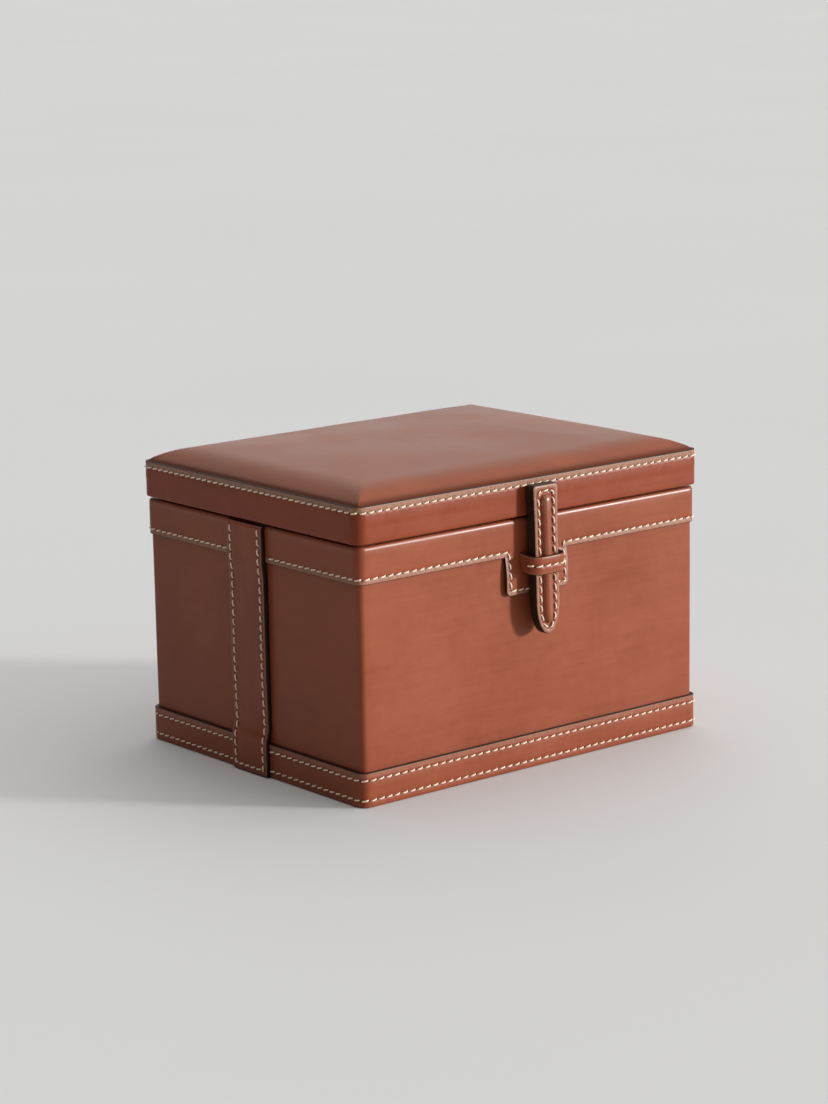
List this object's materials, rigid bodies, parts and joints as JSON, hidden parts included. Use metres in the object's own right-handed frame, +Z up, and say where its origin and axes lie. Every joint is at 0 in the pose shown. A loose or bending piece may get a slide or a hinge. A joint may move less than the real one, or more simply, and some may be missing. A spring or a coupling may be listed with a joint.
{
  "type": "leather jewellery case",
  "caption": "Leather-covered jewellery box with a padded hinged lid, a latch strap held by a keeper loop, side straps and a lift-out tray.",
  "frame": {"origin": "centre of the underside of the body panels, on the surface the case stands on", "axes": "+Z up; -Y towards the latch strap at the front; +X to the right seen from the front, along the longest side"},
  "size_m": [0.2434, 0.2067, 0.1669],
  "materials": {
    "leather": "smooth saddle leather, satin",
    "pad_leather": "smooth saddle leather, soft sheen",
    "suede": "napped suede lining on card",
    "ring_roll": "napped suede over foam",
    "underside": "brown suede sheet",
    "foam": "soft upholstery foam",
    "board": "bare fibreboard",
    "brass": "polished brass"
  },
  "bodies": {
    "case": {"bottom_board": "board", "front_board": "board", "back_board": "board", "left_board": "board", "right_board": "board", "body_leather": "leather", "base_cover": "underside", "base_band": "leather", "collar_band": "leather", "side_strap_left": "leather", "side_strap_right": "leather", "keeper_loop": "leather", "lining_floor": "suede", "lining_wall": "suede", "tray_rest_left": "suede", "tray_rest_right": "suede", "hinge_left_lower_leaf": "brass", "hinge_right_lower_leaf": "brass", "hinge_left_pin": "brass", "hinge_right_pin": "brass", "hinge_left_lower_screw_outer": "brass", "hinge_left_lower_screw_inner": "brass", "hinge_right_lower_screw_outer": "brass", "hinge_right_lower_screw_inner": "brass"},
    "lid": {"lid_top_board": "board", "lid_front_board": "board", "lid_back_board": "board", "lid_left_board": "board", "lid_right_board": "board", "lid_band": "leather", "lid_top_leather": "pad_leather", "lid_pad": "foam", "lid_lining_wall": "suede", "lid_lining_top": "suede", "hinge_left_upper_leaf": "brass", "hinge_right_upper_leaf": "brass", "hinge_left_upper_screw_outer": "brass", "hinge_left_upper_screw_inner": "brass", "hinge_right_upper_screw_outer": "brass", "hinge_right_upper_screw_inner": "brass", "latch_strap_root": "leather"},
    "latch_strap": {"latch_strap_face": "leather", "latch_strap_core": "leather", "latch_strap_backing": "leather"},
    "tray": {"tray_base": "board", "tray_front_wall": "suede", "tray_back_wall": "suede", "tray_left_wall": "suede", "tray_right_wall": "suede", "tray_long_divider": "suede", "tray_cross_divider_left": "suede", "tray_cross_divider_right": "suede", "ring_roll_1": "ring_roll", "ring_roll_2": "ring_roll", "ring_roll_3": "ring_roll", "ring_roll_4": "ring_roll", "ring_roll_5": "ring_roll", "pull_tab_left": "leather", "pull_tab_right": "leather"}
  },
  "joints": [
    {"name": "lid_hinge", "type": "hinge", "parent": "case", "child": "lid", "pos_m": [0, 0.0978, 0.1379], "axis": [-1, 0, 0], "range_deg": [0, 100], "deforming": ["keeper_loop"]},
    {"name": "strap_swing", "type": "hinge", "parent": "lid", "child": "latch_strap", "pos_m": [0, -0.1028, 0.1387], "axis": [-1, 0, 0], "range_deg": [0, 110], "deforming": ["keeper_loop"]},
    {"name": "tray_lift", "type": "slide", "parent": "case", "child": "tray", "axis": [0, 0, 1], "range_m": [0, 0.015]}
  ]
}
